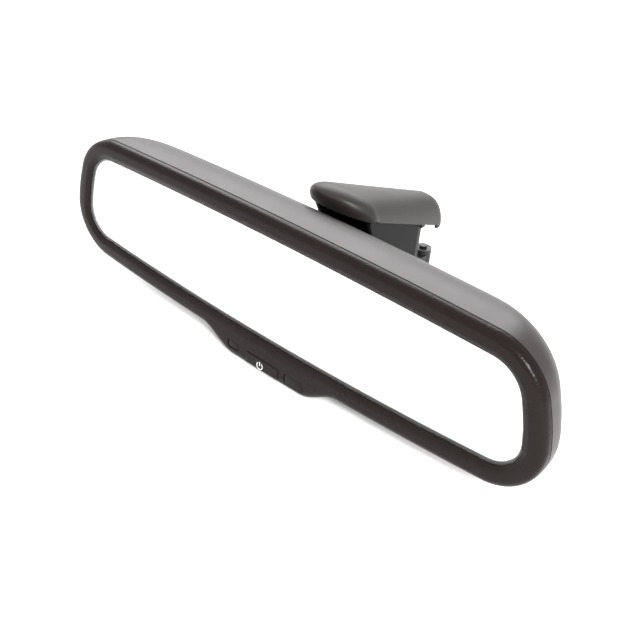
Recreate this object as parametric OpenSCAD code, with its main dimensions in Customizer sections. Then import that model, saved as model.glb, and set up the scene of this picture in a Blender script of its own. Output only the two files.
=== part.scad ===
// Interior rearview mirror head on a ball-jointed stay, millimetres, +Z up.
// The origin is the centre of the seat on which the glass button bears.

/* [Glass] */
// Width of the visible glass
glass_w = 245; // [180:1:290]
// Height of the visible glass at its middle
glass_h = 49.8; // [40:0.2:80]
// Radius of the two upper glass corners
corner_top = 16.4; // [6:0.2:22]
// Radius of the two lower glass corners
corner_bot = 13.4; // [6:0.2:20]
// Thickness of each glass sheet
sheet_t = 1.6; // [1.1:0.1:2.4]
// Gap between the sheets, filled with gel
gel_t = 0.3; // [0.15:0.05:0.6]

/* [Head] */
// Width of the bezel beyond the glass
rim_w = 9.7; // [7:0.1:14]
// Height of the bezel crest in front of the glass
rim_front = 1.5; // [0.8:0.1:3]
// Depth of the housing behind the bezel
dome_d = 38; // [30:0.5:60]
// Wall of the housing
wall = 2.2; // [1.6:0.1:3]
// Drop of the switch chin under the bezel
chin_h = 7.9; // [5:0.1:12]
// Half width of the flat part of the chin
chin_flat = 21.5; // [18:0.5:40]

/* [Controls] */
// Width of the power button
button_w = 19.4; // [10:0.2:22]
// Height of the power button
button_h = 5.7; // [4:0.1:8]
// Travel of the power button
button_travel = 0.5; // [0.2:0.05:1]
// Gap around the button and the lenses
button_gap = 0.3; // [0.15:0.05:0.6]

/* [Mount] */
// Radius of the steel ball
ball_r = 8; // [6:0.1:10]
// Radius of the neck behind the ball
neck_r = 4.3; // [3:0.1:5]
// Angle of the stay below the head's own axis
stay_pitch = 19.5; // [0:0.5:30]
// Width of the stay
stay_w = 16; // [12:0.2:22]
// Distance from the glass to the channel seat
reach = 90.5; // [80:0.5:120]
// Depth of the glass button channel
channel_d = 4.5; // [3:0.1:7]
// Overhang of the upper cover beyond the stay, at its near end
cover_over = 10.8; // [8:0.1:13]

/* [Hidden] */

gap = 0.1;               // face to face clearance inside the head
ah = glass_w / 2;
hh = glass_h / 2;
st = 2.3;                // crown of the top edge
sb = 5.2;                // crown of the bottom edge
ss = 3.9;                // bulge of the ends
tp = -4.8;               // ends lean in towards the top
part_y = 3.1;            // parting line behind the glass face
gy = -reach;             // glass face in the part's frame
gz = 6;
lip_in = 2.2;            // glass edge behind the bezel lip
step_e = 3.0;
skirt_in = rim_w - 1.4;
bz = 8;                  // ball centre over the glass centre
liner = 1.15;            // wall of each ball liner
fit = 0.05;              // running fit of the ball surfaces
r1 = ball_r + fit;
r2 = r1 + liner;
r3 = r2 + fit;
r4 = r3 + liner;
r5 = r4 + fit;
socket_r = r5 + 2.5;
stack_y = 2 * sheet_t + gel_t;
board_y = 8;
plate_y = board_y + 4.5;
by = plate_y + 3.05 + r5;   // ball centre behind the glass face
post_x = 30;
post_z = 8;
bcx = -0.9;              // button centre
bcz = -(hh + rim_w + chin_h - 5.05);
lens_l = [-19, -(hh + rim_w + chin_h - 6.5)];
lens_r = [17.6, -(hh + rim_w + chin_h - 5.4)];
sw_y = 6.4;
amb_x = -27;
har_x = 30;
back_y = 3.2 + dome_d * 0.97;
nk = dome_d - 12;        // from the ball to the start of the stay

NT = 9; NA = 8; NS = 3; NB = 22;   // points along the half outline

module head() translate([0, gy, gz]) children();
module along() translate([0, by, bz]) rotate([-90 - stay_pitch, 0, 0]) children();
module ydir(y) translate([0, y, 0]) rotate([-90, 0, 0]) children();

// ---- outline ----
function ft(et, x) = hh + et - st * pow(x / ah, 2);
function fb(eb, x) = hh + eb - sb * pow(x / ah, 2);
function fs(es, z) = ah + es + tp * z / hh - ss * pow(z / hh, 2);
function unit2(v) = v / norm(v);
function nt(s, x) = unit2([2 * s * x / (ah * ah), 1]);
function ns(g, z) = unit2([1, -g * (tp / hh - 2 * ss * g * z / (hh * hh))]);
// centre of a corner arc: g = 1 for the top pair, -1 for the bottom pair
function cc(e, es, r, g, k = 8, c = [0, 0]) = k == 0 ? c :
    let (c0 = k == 8 ? [ah + es - r, hh + e - r] : c,
        s = g > 0 ? st : sb, a = nt(s, c0[0] + r * nt(s, c0[0])[0]), x = c0[0] + r * a[0],
        b = ns(g, c0[1]), z = c0[1] + r * b[1])
    cc(e, es, r, g, k - 1, [fs(es, g * z) - r * b[0],
        (g > 0 ? ft(e, x) : fb(e, x)) - r * a[1]]);
function ang(v) = atan2(v[1], v[0]);
function smooth(t) = t <= 0 ? 0 : t >= 1 ? 1 : t * t * (3 - 2 * t);
function chin(x) = smooth((chin_flat + 19.5 - abs(x)) / 20.5);
// half outline, top centre to bottom centre; e is the offset, q the chin's share
function half(e, q = 0) =
    let (et = e * 8.8 / 9.7, es = e * 9.3 / 9.7, rt = corner_top + e * 1.03,
        rb = corner_bot + e * 1.03, ct = cc(et, es, rt, 1), cb = cc(e, es, rb, -1),
        at0 = ang(nt(st, ct[0])), at1 = ang(ns(1, ct[1])), xt = ct[0] + rt * cos(at0),
        ab0 = ang(nt(sb, cb[0])), ab1 = ang(ns(-1, cb[1])), xb = cb[0] + rb * cos(ab0),
        z1 = ct[1] + rt * sin(at1), z2 = -(cb[1] + rb * sin(ab1)))
    concat([for (i = [0:NT - 1]) let (x = xt * i / NT) [x, ft(et, x)]],
        [for (i = [0:NA]) let (a = at0 + (at1 - at0) * i / NA) ct + rt * [cos(a), sin(a)]],
        [for (i = [1:NS - 1]) let (z = z1 + (z2 - z1) * i / NS) [fs(es, z), z]],
        [for (i = [0:NA]) let (a = ab1 + (ab0 - ab1) * i / NA)
            [cb[0] + rb * cos(a), -cb[1] - rb * sin(a)]],
        [for (i = [1:NB]) let (x = xb * (1 - i / NB))
            [x, -fb(e, x) - q * chin_h * chin(x)]]);
function ring(e, q = 0) = let (h = half(e, q), n = len(h))
    concat(h, [for (i = [n - 2:-1:1]) [-h[i][0], h[i][1]]]);
function put(p, y) = [for (v = p) [v[0], y, v[1]]];
function flat(a) = [for (b = a) for (c = b) c];

// closed sweep of rings; ends capped unless loop is true
module rings(rs, loop = false) {
    n = len(rs[0]); m = len(rs); k = loop ? m : m - 1;
    sides = flat([for (i = [0:k - 1]) flat([for (j = [0:n - 1])
        let (a = i * n + j, b = i * n + (j + 1) % n, c = ((i + 1) % m) * n + (j + 1) % n,
            d = ((i + 1) % m) * n + j) [[a, b, c], [a, c, d]]])]);
    back = [for (f = sides) [f[2], f[1], f[0]]];
    polyhedron(flat(rs), loop ? back : concat(back,
        [[for (j = [0:n - 1]) j]], [[for (j = [n - 1:-1:0]) (m - 1) * n + j]]));
}
// prism of the outline between two depths
module plate(e, y0, y1, q = 0) ydir(y0) linear_extrude(y1 - y0)
    mirror([0, 1]) polygon(ring(e, q));
module rr(w, h, r) { square([w - 2 * r, h], center = true);
    square([w, h - 2 * r], center = true);
    for (x = [-1, 1], y = [-1, 1]) translate([x * (w / 2 - r), y * (h / 2 - r)])
        circle(r, $fn = 24); }
module pad(c, w, h, r, y0, y1) translate([c[0], y0, c[1]]) rotate([-90, 0, 0])
    linear_extrude(y1 - y0) rr(w, h, r);
module rod(x, z, r, y0, y1) translate([x, y0, z]) rotate([-90, 0, 0])
    cylinder(r = r, h = y1 - y0, $fn = 32);
module block(x0, x1, y0, y1, z0, z1) translate([x0, y0, z0])
    cube([x1 - x0, y1 - y0, z1 - z0]);
module side(p, w) rotate([90, 0, 90]) translate([0, 0, -w / 2]) linear_extrude(w) polygon(p);

// ---- bezel ----
function prof() = [[0, -gap, 0], [0.15, -0.35, 0], [1.9, -rim_front * 0.78, 0.02],
    [3.3, -rim_front, 0.12], [5.6, -rim_front * 0.97, 0.55],
    [rim_w - 1.9, -rim_front * 0.87, 0.97], [rim_w - 1.05, -0.8, 1],
    [rim_w - 0.4, 0.05, 1], [rim_w - 0.08, 1.3, 1], [rim_w, part_y, 1],
    [skirt_in, part_y, 1], [skirt_in, 0.4, 1], [step_e, 0.4, 0], [step_e, -gap, 0]];
module windows() {
    pad([bcx, bcz], button_w + 2 * button_gap, button_h + 2 * button_gap, 1.3, -4, 2);
    pad(lens_l, 7 + 2 * button_gap, 3.7 + 2 * button_gap, 1.1, -4, 2);
    pad(lens_r, 10.8 + 2 * button_gap, 4.8 + 2 * button_gap, 1.5, -4, 2);
}
module front_bezel() color([0.05, 0.05, 0.055]) head() difference() {
    rings([for (p = prof()) put(ring(p[0], p[2]), p[1])], true);
    windows();
}

// ---- dimming glass ----
module ec_front_glass() color([0.8, 0.88, 0.9]) head() plate(lip_in, 0, sheet_t);
module ec_gel() color([0.7, 0.8, 0.75]) head()
    plate(-1.0, sheet_t, sheet_t + gel_t);
module ec_edge_seal() color([0.25, 0.25, 0.25]) head() difference() {
    plate(1.4, sheet_t, sheet_t + gel_t);
    plate(-1.0, sheet_t - 1, sheet_t + gel_t + 1);
}
module ec_rear_glass() color([0.85, 0.87, 0.9]) head()
    plate(lip_in - 0.3, sheet_t + gel_t, stack_y);
module bus_clips() color([0.75, 0.62, 0.35]) head() for (g = [-1, 1])
    block(-ah * 0.7, ah * 0.7, stack_y, stack_y + 0.3, g * (hh - 4.6) - 1.2,
        g * (hh - 4.6) + 1.2);
module glass_pad() color([0.15, 0.15, 0.15]) head() difference() {
    plate(-7.5, stack_y, stack_y + 0.6);
    block(-20, 20, stack_y - 1, stack_y + 2, -6, 6);
}
module glass_carrier() color([0.2, 0.2, 0.21]) head() difference() {
    union() {
        plate(1.2, stack_y + 0.6, stack_y + 2.2);
        for (x = [-50, 50], z = [-11, 10]) rod(x, z, 2.8, stack_y + 2, board_y);
    }
    for (x = [-50, 50], z = [-11, 10]) rod(x, z, 1.25, stack_y + 1, board_y + 1);
    block(-20, 20, stack_y, stack_y + 4, -6, 6);
    for (x = [-90, 90]) block(x - 14, x + 14, stack_y, stack_y + 4, -9, 9);
}

// ---- electronics ----
module circuit_board() color([0.1, 0.35, 0.18]) head() difference() {
    block(-57, 57, board_y, board_y + 1.6, -15, 14);
    for (x = [-50, 50], z = [-11, 10]) rod(x, z, 1.6, board_y - 1, board_y + 3);
}
module board_components() color([0.12, 0.12, 0.13]) head() {
    y = board_y + 1.6;
    block(-24, -15, y, y + 1.4, -7, -1);
    block(-18, -12, y, y + 1.6, 2, 8);
    block(-8, -4, y, y + 1.2, -12, -8);
    block(6, 14, y, y + 1.8, -13, -7);
    block(18, 22, y, y + 1.2, 4, 10);
    block(36, 43, y, y + 4.5, -4, 3);
    rod(-41, -9, 3.2, y, y + 6);
    rod(45, -10, 2.6, y, y + 5);
}
module board_screws() color([0.65, 0.65, 0.68]) head() for (x = [-50, 50], z = [-11, 10])
    difference() {
        union() { rod(x, z, 2.5, board_y + 1.6, board_y + 3.2);
            rod(x, z, 1.25, stack_y + 2.4, board_y + 1.6); }
        translate([x, board_y + 2.4, z]) rotate([-90, 0, 0]) cylinder(r = 1.3, h = 2, $fn = 6);
    }
module switch_board() color([0.1, 0.35, 0.18]) head()
    block(-25, 25, sw_y, sw_y + 1.4, bcz - 0.6, bcz + 8);
module tact_switch() color([0.16, 0.16, 0.17]) head() difference() {
    block(bcx - 3, bcx + 3, sw_y - 1.6, sw_y, bcz - 0.5, bcz + 5.5);
    rod(bcx, bcz + 2.5, 1.7, sw_y - 2, sw_y - 0.25);
}
module switch_plunger() color([0.8, 0.8, 0.78]) head()
    rod(bcx, bcz + 2.5, 1.6, 3.5, sw_y - 0.9);
module power_button() color([0.06, 0.06, 0.065]) head() {
    pad([bcx, bcz], button_w, button_h, 1.1, -1.75, 0.6);
    pad([bcx, bcz], button_w + 1.2, button_h + 0.9, 1.3, 0.55, 1.6);
    block(bcx - 4, bcx + 4, 1.5, 2.6, bcz - 1.5, bcz + 4);
    rod(bcx, bcz + 2.5, 1.4, 2.5, 3.5);
}
module power_symbol() color([0.95, 0.95, 0.95]) head()
    translate([bcx - 1.2, -1.75, bcz - 0.75]) rotate([90, 0, 0]) linear_extrude(0.08) {
        difference() {
            circle(1.85, $fn = 36);
            circle(1.45, $fn = 36);
            translate([-0.75, 0.6]) square([1.5, 3]);
        }
        translate([-0.2, 0.1]) square([0.4, 2.1]);
    }
module indicator_lens() color([0.1, 0.1, 0.1]) head() {
    pad(lens_l, 7, 3.7, 0.8, -0.85, 0.5);
    pad(lens_l, 8.2, 4.9, 1, 0.5, 1.4);
}
module indicator_led() color([0.9, 0.9, 0.7]) head()
    block(lens_l[0] - 1.5, lens_l[0] + 1.5, sw_y - 1.8, sw_y, bcz + 0.5, bcz + 3);
module glare_sensor_lens() color([0.1, 0.1, 0.12]) head() {
    pad(lens_r, 10.8, 4.8, 1.2, -0.75, 0.5);
    pad(lens_r, 12, 5.6, 1.4, 0.5, 1.4);
}
module glare_photocell() color([0.3, 0.25, 0.2]) head()
    rod(lens_r[0], bcz + 2.5, 2.2, sw_y - 2.6, sw_y);
module ambient_sensor_lens() color([0.12, 0.12, 0.14]) head() {
    rod(amb_x, 0, 3.5, back_y - wall - 0.6, back_y + 0.4);
    rod(amb_x, 0, 4.8, back_y - wall - 1.3, back_y - wall - gap);
}
module light_guide() color([0.85, 0.9, 0.92]) head()
    rod(amb_x, 0, 2, board_y + 1.6 + 1.5, back_y - wall - 1.4);
module harness_socket() color([0.13, 0.13, 0.14]) head() difference() {
    block(har_x - 7.5, har_x + 7.5, back_y - 12, back_y - 0.3, -4.5, 4.5);
    block(har_x - 6.2, har_x + 6.2, back_y - 9.5, back_y + 2, -3.2, 3.2);
    for (x = [-4, -2, 0, 2, 4], z = [-1.3, 1.3])
        block(har_x + x - 0.35, har_x + x + 0.35, back_y - 13, back_y - 8, z - 0.35, z + 0.35);
}
module socket_pins() color([0.8, 0.7, 0.35]) head()
    for (x = [-4, -2, 0, 2, 4], z = [-1.3, 1.3])
        block(har_x + x - 0.32, har_x + x + 0.32, back_y - 13.5, back_y - 4, z - 0.32, z + 0.32);
module ribbon_lead() color([0.55, 0.55, 0.56]) head() {
    block(har_x - 5, har_x + 5, board_y + 1.6, back_y - 13.5, 2.6, 3.2);
    block(har_x - 5, har_x + 5, back_y - 14.1, back_y - 13.5, -1.8, 3.2);
}

// ---- housing ----
function law(t) = pow(1 - pow(t, 2.5), 0.4);
function dome(off, y0, y1, m) = [for (i = [0:m])
    let (u = pow(i / m, 0.72), t = u * 0.97, y = y0 + (y1 - y0) * u, s = law(t))
    [for (v = ring(rim_w - off, 0)) let (c = v[1] < -hh ? chin(v[0]) : 0)
        [v[0] * s, y, v[1] * s - c * chin_h * pow(1 - t, 1.6)]]];
function shell_out() = concat([put(ring(skirt_in - 0.3, 1), 0.9),
    put(ring(skirt_in - 0.3, 1), part_y + gap)], dome(0, part_y + gap, back_y, 11));
function shell_in() = concat([put(ring(skirt_in - 1.9, 1), 0.8),
    put(ring(skirt_in - 1.9, 1), part_y + 2)], dome(wall, part_y + 2.6, back_y - wall, 8));
module rear_housing() color([0.12, 0.12, 0.125]) head() difference() {
    union() {
        difference() {
            rings(shell_out());
            rings(shell_in());
        }
        for (x = [-post_x, post_x], z = [-post_z, post_z])
            rod(x, z + bz - 4, 3.2, plate_y + 2.5, back_y - 1.9);
    }
    block(-28, 28, -3, part_y + gap, -80, -hh - 4);
    for (x = [-post_x, post_x], z = [-post_z, post_z])
        rod(x, z + bz - 4, 1.45, plate_y, plate_y + 14);
    along() cylinder(r1 = 0, r2 = 30 * tan(41), h = 30, $fn = 40);
    rod(amb_x, 0, 3.6, back_y - wall - 1, back_y + 1);
    rod(amb_x, 0, 5.3, 8, back_y - wall);
    block(har_x - 7.8, har_x + 7.8, back_y - 15.5, back_y + 1, -4.8, 4.8);
}

// ---- ball joint ----
// part of a spherical shell, open over a cone about its own +Z
module bowl(ri, ro, open) rotate_extrude($fn = 96) polygon(concat(
    [for (i = [0:24]) let (a = -90 + (180 - open) * i / 24) ro * [cos(a), sin(a)]],
    [for (i = [24:-1:0]) let (a = -90 + (180 - open) * i / 24) ri * [cos(a), sin(a)]]));
module ball_socket() color([0.45, 0.45, 0.47]) head() difference() {
    union() {
        translate([0, by, bz]) rotate([-90 - stay_pitch + 7, 0, 0]) bowl(r5, socket_r, 56);
        block(-post_x - 5, post_x + 5, plate_y, plate_y + 2.5, bz - 4 - post_z - 4.5,
            bz - 4 + post_z + 4.5);
    }
    block(-20, 20, -10, plate_y, -20, 40);
    for (x = [-post_x, post_x], z = [-post_z, post_z])
        rod(x, z + bz - 4, 1.8, plate_y - 1, plate_y + 4);
    rod(amb_x, 0, 3, plate_y - 1, plate_y + 4);
    block(har_x - 5.6, har_x + 9, plate_y - 1, plate_y + 4, 1.6, 4.2);
}
module socket_screws() color([0.65, 0.65, 0.68]) head()
    for (x = [-post_x, post_x], z = [-post_z, post_z]) difference() {
        union() { rod(x, z + bz - 4, 1.45, plate_y, plate_y + 12);
            rod(x, z + bz - 4, 3, plate_y - 1.8, plate_y); }
        translate([x, plate_y - 2, z + bz - 4]) rotate([-90, 0, 0])
            cylinder(r = 1.4, h = 1.2, $fn = 6);
    }
module pan_liner() color([0.85, 0.84, 0.8]) head() along() bowl(r3, r4, 52);
module roll_liner() color([0.25, 0.25, 0.26]) head() along() bowl(r1, r2, 42);
module ball_stud() color([0.7, 0.7, 0.72]) head() {
    translate([0, by, bz]) sphere(ball_r, $fn = 64);
    along() cylinder(r = neck_r, h = nk, $fn = 48);
    along() cylinder(r = 3, h = nk + 13, $fn = 48);
}

// ---- stay ----
function ax(s, d) = [by + s * cos(stay_pitch) + d * sin(stay_pitch),
    bz - s * sin(stay_pitch) + d * cos(stay_pitch)];
ye = reach + channel_d;
zb = bz - (reach - by) * tan(stay_pitch);
sy = by + nk - 26;
function sp(k) = sy + k / 69 * (ye - sy);    // a place along the stay
module stay() color([0.2, 0.2, 0.21]) head() difference() {
    union() {
        side([ax(nk, -6), ax(nk, 6), [sp(38), bz + 2.5], [sp(54), bz + 1],
            [ye, bz - 4], [ye, zb - 1.5], [ye - 7, zb - 5], [sp(40), zb + 1]], stay_w);
        side([[ye - 17, zb - 1], [ye - 1, zb + 1], [ye + 1, zb - 5.5], [ye + 17, zb - 5.5],
            [ye + 17, zb - 12.5], [ye + 1, zb - 12.5], [ye - 11, zb - 7]], 8);
        translate([0, ye + 17, zb - 13.5]) cylinder(r = 4.4, h = 10.5, $fn = 48);
    }
    along() translate([0, 0, nk - 1]) cylinder(r = 3, h = 15, $fn = 48);
    translate([0, 0, -12]) linear_extrude(40) for (g = [0, 180]) translate([0, reach])
        mirror([g / 180, 0]) polygon([[0, 0], [5.2, 0], [5.2, 1.2], [6.5, 1.6], [6.5, 2.9],
            [5.2, 3.3], [5.2, channel_d + 0.01], [0, channel_d + 0.01]]);
    translate([0, ye + 17, zb - 15]) cylinder(r = 2, h = 20, $fn = 36);
    translate([0, sp(48), zb - 16]) cylinder(r = 1.5, h = 22, $fn = 36);
}
module set_screw() color([0.3, 0.3, 0.32]) head() difference() {
    translate([0, ye + 17, zb - 14]) cylinder(r = 2, h = 12.4, $fn = 36);
    translate([0, ye + 17, zb - 14.5]) cylinder(r = 1.15, h = 3, $fn = 6);
}

// ---- covers ----
cb = dome_d - 2;         // where the covers start to rise over the housing
cy0 = cb - 6; cy1 = ye + 14; clen = 13.5; ct_w = 1.8;
function c_top(y) = hh + 12.9 - 0.337 * (y - cb - 0.8);
function c_bot(y) = hh + 3.1 - 0.389 * (y - cb) - 2.7 * smooth((cb + 8 - y) / 9);
function c_w(y) = stay_w / 2 + cover_over * (1 - 0.722 * (y - cb) / 72);
// the near end leans back so that the head can turn under it
function lean(p) = [p[0], p[1] + 0.56 * max(0, hh + 10.1 - p[2])
    * (1 - smooth((p[1] - cb + 2) / 14)), p[2]];
function c_k(y, y0) = y >= y0 + clen ? 1 :
    pow(1 - pow((y0 + clen - y) / clen, 2.33), 1 / 2.33);
CS = [0.004, 0.04, 0.12, 0.28, 0.55, 1, 2, 3.5, 5, 6.5, 8, 9];
function sgn(v) = v < 0 ? -1 : 1;
function arch(y, k, o) = [for (j = [0:16]) let (a = 180 * j / 16, w = (c_w(y) - o) * k,
        h = (c_top(y) - c_bot(y) - o) * (0.28 + 0.72 * k), c = cos(a), s = sin(a))
    lean([w * sgn(c) * pow(abs(c), 0.9), y, c_bot(y) + h * pow(abs(s), 0.9)])];
function c_ys(y0) = [for (s = CS) s <= 1 ? y0 + s * clen :
    y0 + clen + (cy1 - y0 - clen) * (s - 1) / 8];
module upper_cover_shell() {
    o = [for (y = c_ys(cy0)) arch(y, max(0.12, c_k(y, cy0)), 0)];
    q = [for (y = c_ys(cy0 + ct_w)) arch(y, max(0.12, c_k(y, cy0 + ct_w)), ct_w)];
    m = len(o); n = 17; N = m * n;
    g = flat([for (i = [0:m - 2]) flat([for (j = [0:n - 2])
        let (a = i * n + j, b = a + 1, c = a + n + 1, d = a + n)
            [[a, b, c], [a, c, d], [N + a, N + c, N + b], [N + a, N + d, N + c]]])]);
    e1 = flat([for (i = [0:m - 2]) let (a = i * n, d = a + n, b = a + n - 1, c = b + n)
        [[a, d, N + d], [a, N + d, N + a], [b, N + c, c], [b, N + b, N + c]]]);
    e2 = flat([for (j = [0:n - 2]) let (a = (m - 1) * n + j, b = a + 1)
        [[a, b, N + b], [a, N + b, N + a]]]);
    caps = [[for (j = [n - 1:-1:0]) j], [for (j = [0:n - 1]) N + j],
        [0, N, N + n - 1], [0, N + n - 1, n - 1]];
    polyhedron(concat(flat(o), flat(q)), concat(g, e1, e2, caps));
}
module upper_cover() color([0.09, 0.09, 0.095]) head() {
    upper_cover_shell();
    for (g = [-1, 1], y = [ye - 6, cy1 - 3.2]) let (w = c_w(y))
        translate([g * (w - 1.7) - 0.7, y, c_bot(y) - 2.2]) cube([1.4, 2.6, 3.4]);
}
le = ye - 7;                // far end of the lower cover
lc_z = zb - 6.2 - 1.6;      // seat of the cover screw
// plan of the lower cover, in under the upper cover's rim by o
module lc_plan(o, y0, y1) translate([0, 0, -60]) linear_extrude(120)
    polygon([[c_w(y0) - o, y0], [c_w(y1) - o, y1], [o - c_w(y1), y1], [o - c_w(y0), y0]]);
module lower_cover() color([0.07, 0.07, 0.075]) head() difference() {
    union() {
        intersection() {
            lc_plan(2.1, cb, ye + 5);
            side([[cb + 7, c_bot(cb + 7) - gap], [cb + 9, c_bot(cb + 9) - gap],
                [le, c_bot(le) - gap], [le, zb - 7], [sp(52), zb - 7.5],
                [sp(26), zb + 3.9], [sp(23) + 1, bz], [cb + 7, hh - 2]], 80);
        }
        translate([0, sp(48), lc_z]) cylinder(r = 4.4, h = 4, $fn = 48);
    }
    intersection() {
        lc_plan(3.8, cb - 5, ye + 6);
        side([[cb, 60], [ye + 5, 60], [ye + 5, zb - 5.4], [sp(52), zb - 5.9],
            [sp(24.5), zb + 6], [cb, zb + 6]], 80);
    }
    block(-4.3, 4.3, ye - 16, ye + 2, zb - 20, zb);
    translate([0, sp(48), zb - 20]) cylinder(r = 1.7, h = 30, $fn = 36);
}
module cover_screw() color([0.3, 0.3, 0.32]) head() difference() {
    union() {
        translate([0, sp(48), lc_z - 1.6]) cylinder(r = 3, h = 1.6, $fn = 48);
        translate([0, sp(48), lc_z - 1]) cylinder(r = 1.5, h = 14, $fn = 36);
    }
    translate([0, sp(48), lc_z - 2]) cylinder(r = 1.4, h = 1.3, $fn = 6);
}

front_bezel();
ec_front_glass();
ec_gel();
ec_edge_seal();
ec_rear_glass();
bus_clips();
glass_pad();
glass_carrier();
circuit_board();
board_components();
board_screws();
switch_board();
tact_switch();
switch_plunger();
power_button();
power_symbol();
indicator_lens();
indicator_led();
glare_sensor_lens();
glare_photocell();
ambient_sensor_lens();
light_guide();
harness_socket();
socket_pins();
ribbon_lead();
rear_housing();
ball_socket();
socket_screws();
pan_liner();
roll_liner();
ball_stud();
stay();
upper_cover();
lower_cover();
cover_screw();
set_screw();
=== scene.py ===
"""Looks for an interior rearview mirror: moulded shells, dimming glass, controls, ball joint and stay."""

import math

import bmesh
import bpy
from mathutils import Matrix, Vector


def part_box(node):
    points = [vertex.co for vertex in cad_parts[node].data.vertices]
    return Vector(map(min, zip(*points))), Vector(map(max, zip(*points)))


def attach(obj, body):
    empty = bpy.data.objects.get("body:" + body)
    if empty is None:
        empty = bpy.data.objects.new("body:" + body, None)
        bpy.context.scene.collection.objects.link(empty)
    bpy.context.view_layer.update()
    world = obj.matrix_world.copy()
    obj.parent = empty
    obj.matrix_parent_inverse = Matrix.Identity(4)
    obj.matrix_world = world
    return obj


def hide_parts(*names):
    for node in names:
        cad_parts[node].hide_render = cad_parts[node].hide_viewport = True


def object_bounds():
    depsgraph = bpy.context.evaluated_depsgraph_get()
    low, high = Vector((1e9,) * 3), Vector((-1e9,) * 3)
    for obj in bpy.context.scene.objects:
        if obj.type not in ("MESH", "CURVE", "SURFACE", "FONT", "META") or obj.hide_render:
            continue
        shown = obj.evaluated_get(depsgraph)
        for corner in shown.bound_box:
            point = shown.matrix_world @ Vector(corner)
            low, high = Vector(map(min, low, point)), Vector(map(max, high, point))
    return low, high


bl_info = {
    "name": "Interior rearview mirror",
    "version": (1, 0, 0),
    "blender": (4, 5, 0),
    "location": "View3D > Sidebar > Mirror",
    "description": "Builds the visible pieces of an interior rearview mirror round its CAD model",
    "category": "Add Mesh",
}

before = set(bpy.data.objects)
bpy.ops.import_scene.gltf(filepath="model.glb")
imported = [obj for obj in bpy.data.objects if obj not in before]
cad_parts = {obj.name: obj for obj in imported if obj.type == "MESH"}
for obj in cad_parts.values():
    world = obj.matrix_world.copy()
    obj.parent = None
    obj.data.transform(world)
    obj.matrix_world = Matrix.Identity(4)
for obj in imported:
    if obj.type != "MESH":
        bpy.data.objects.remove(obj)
CAD_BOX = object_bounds()

MM = 0.001
GLASS_FACE_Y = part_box("ec_front_glass")[0][1]      # front face of the glass, metres
HEAD = Vector((0.0, GLASS_FACE_Y, 6 * MM))         # middle of the glass in the part's frame
BALL = Vector((0.0, 26.0, 8.0))                    # ball centre from HEAD, millimetres
GAP = 0.1                                          # face to face clearance, millimetres

# places and shapes shared with the CAD model: millimetres from HEAD, angles in degrees
STAY_PITCH = 19.5           # fall of the stay's axis behind the ball
OPENING_ANGLE = 41          # half angle of the opening that the stay swings in
AMBIENT_X = -27             # middle of the ambient light sensor
SOCKET_X = 30               # middle of the harness socket
LAW_POWER = 2.5             # power of the dome's rounding
BUTTON = (19.4, 5.7)        # power button, width and height
LEFT_LENS = (7.0, 3.7)
RIGHT_LENS = (10.8, 4.8)
COVER_START = 36            # where the covers start to rise over the housing
COVER_NEAR, COVER_FAR = 30.0, 109.0
COVER_WALL = 1.8
COVER_ROUNDING = 0.9        # power of the arch's section, lower is squarer
NOSE = 13.5                 # length of the upper cover's rounded near end
NOSE_POWER = 2.33
RIM_CREASE = 105.2          # where the rim at the far end starts to turn in
RIM_SLOPE = 0.28
CREASE_DEPTH = 0.4          # depth of the line pressed in at the crease
TEETH = (89.0, 105.8)       # clip teeth under the cover's rim


# ---------------------------------------------------------------- sizes and finishes


def srgb(hex_code):
    """An sRGB hex colour as linear RGBA."""
    raw = [int(hex_code[i:i + 2], 16) / 255 for i in (0, 2, 4)]
    return tuple(c / 12.92 if c <= 0.04045 else ((c + 0.055) / 1.055) ** 2.4 for c in raw) + (1.0,)


def colour_prop(name, description, hex_code):
    return bpy.props.FloatVectorProperty(
        name=name, description=description, subtype="COLOR", size=4, min=0, max=1,
        default=srgb(hex_code))


def length_prop(name, description, millimetres):
    return bpy.props.FloatProperty(
        name=name, description=description, unit="LENGTH", min=0, precision=5,
        default=millimetres * MM)


class MirrorSizes(bpy.types.PropertyGroup):
    """Sizes of the head and of the covers on the stay."""
    glass_w: length_prop("Glass width", "Width of the visible glass", 245)
    glass_h: length_prop("Glass height", "Height of the visible glass at its middle", 49.8)
    corner_top: length_prop("Upper corner", "Radius of the two upper glass corners", 16.4)
    corner_bot: length_prop("Lower corner", "Radius of the two lower glass corners", 13.4)
    rim_w: length_prop("Rim width", "Width of the bezel beyond the glass", 9.7)
    rim_front: length_prop("Rim crest", "Height of the bezel crest over the glass", 1.5)
    parting: length_prop("Parting line", "Depth of the parting line behind the glass", 3.1)
    dome_d: length_prop("Dome depth", "Depth of the housing behind the bezel", 38)
    wall: length_prop("Shell wall", "Wall of the housing", 2.2)
    chin_h: length_prop("Chin drop", "Drop of the switch chin under the bezel", 7.9)
    chin_flat: length_prop("Chin flat", "Half width of the flat part of the chin", 21.5)
    stay_w: length_prop("Stay width", "Width of the stay", 16)
    cover_over: length_prop("Cover overhang", "Overhang of the upper cover beyond the stay", 10.8)


class MirrorFinishes(bpy.types.PropertyGroup):
    """Colours of the shown finishes."""
    bezel: colour_prop("Bezel black", "Semi-gloss ABS of the bezel", "171110")
    housing: colour_prop("Housing black", "Fine-grained ABS of the housing", "241f1e")
    cover: colour_prop("Cover black", "Satin ABS of the upper cover", "221f1d")
    # the lower cover's black is the plastic's own colour darkened further as painted shade, for the shadow the
    # upper cover casts on it
    lower: colour_prop("Lower cover black with painted shade", "Satin ABS of the lower cover, darkened as painted shade under the upper cover", "0e100e")
    lens: colour_prop("Smoked lens", "Smoked acrylic of the sensor lenses", "0e0b0a")
    print_white: colour_prop("White print", "Ink of the power symbol", "f4f4f2")
    stay: colour_prop("Stay coating", "Black coating of the die-cast stay", "1b1a1a")


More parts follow.
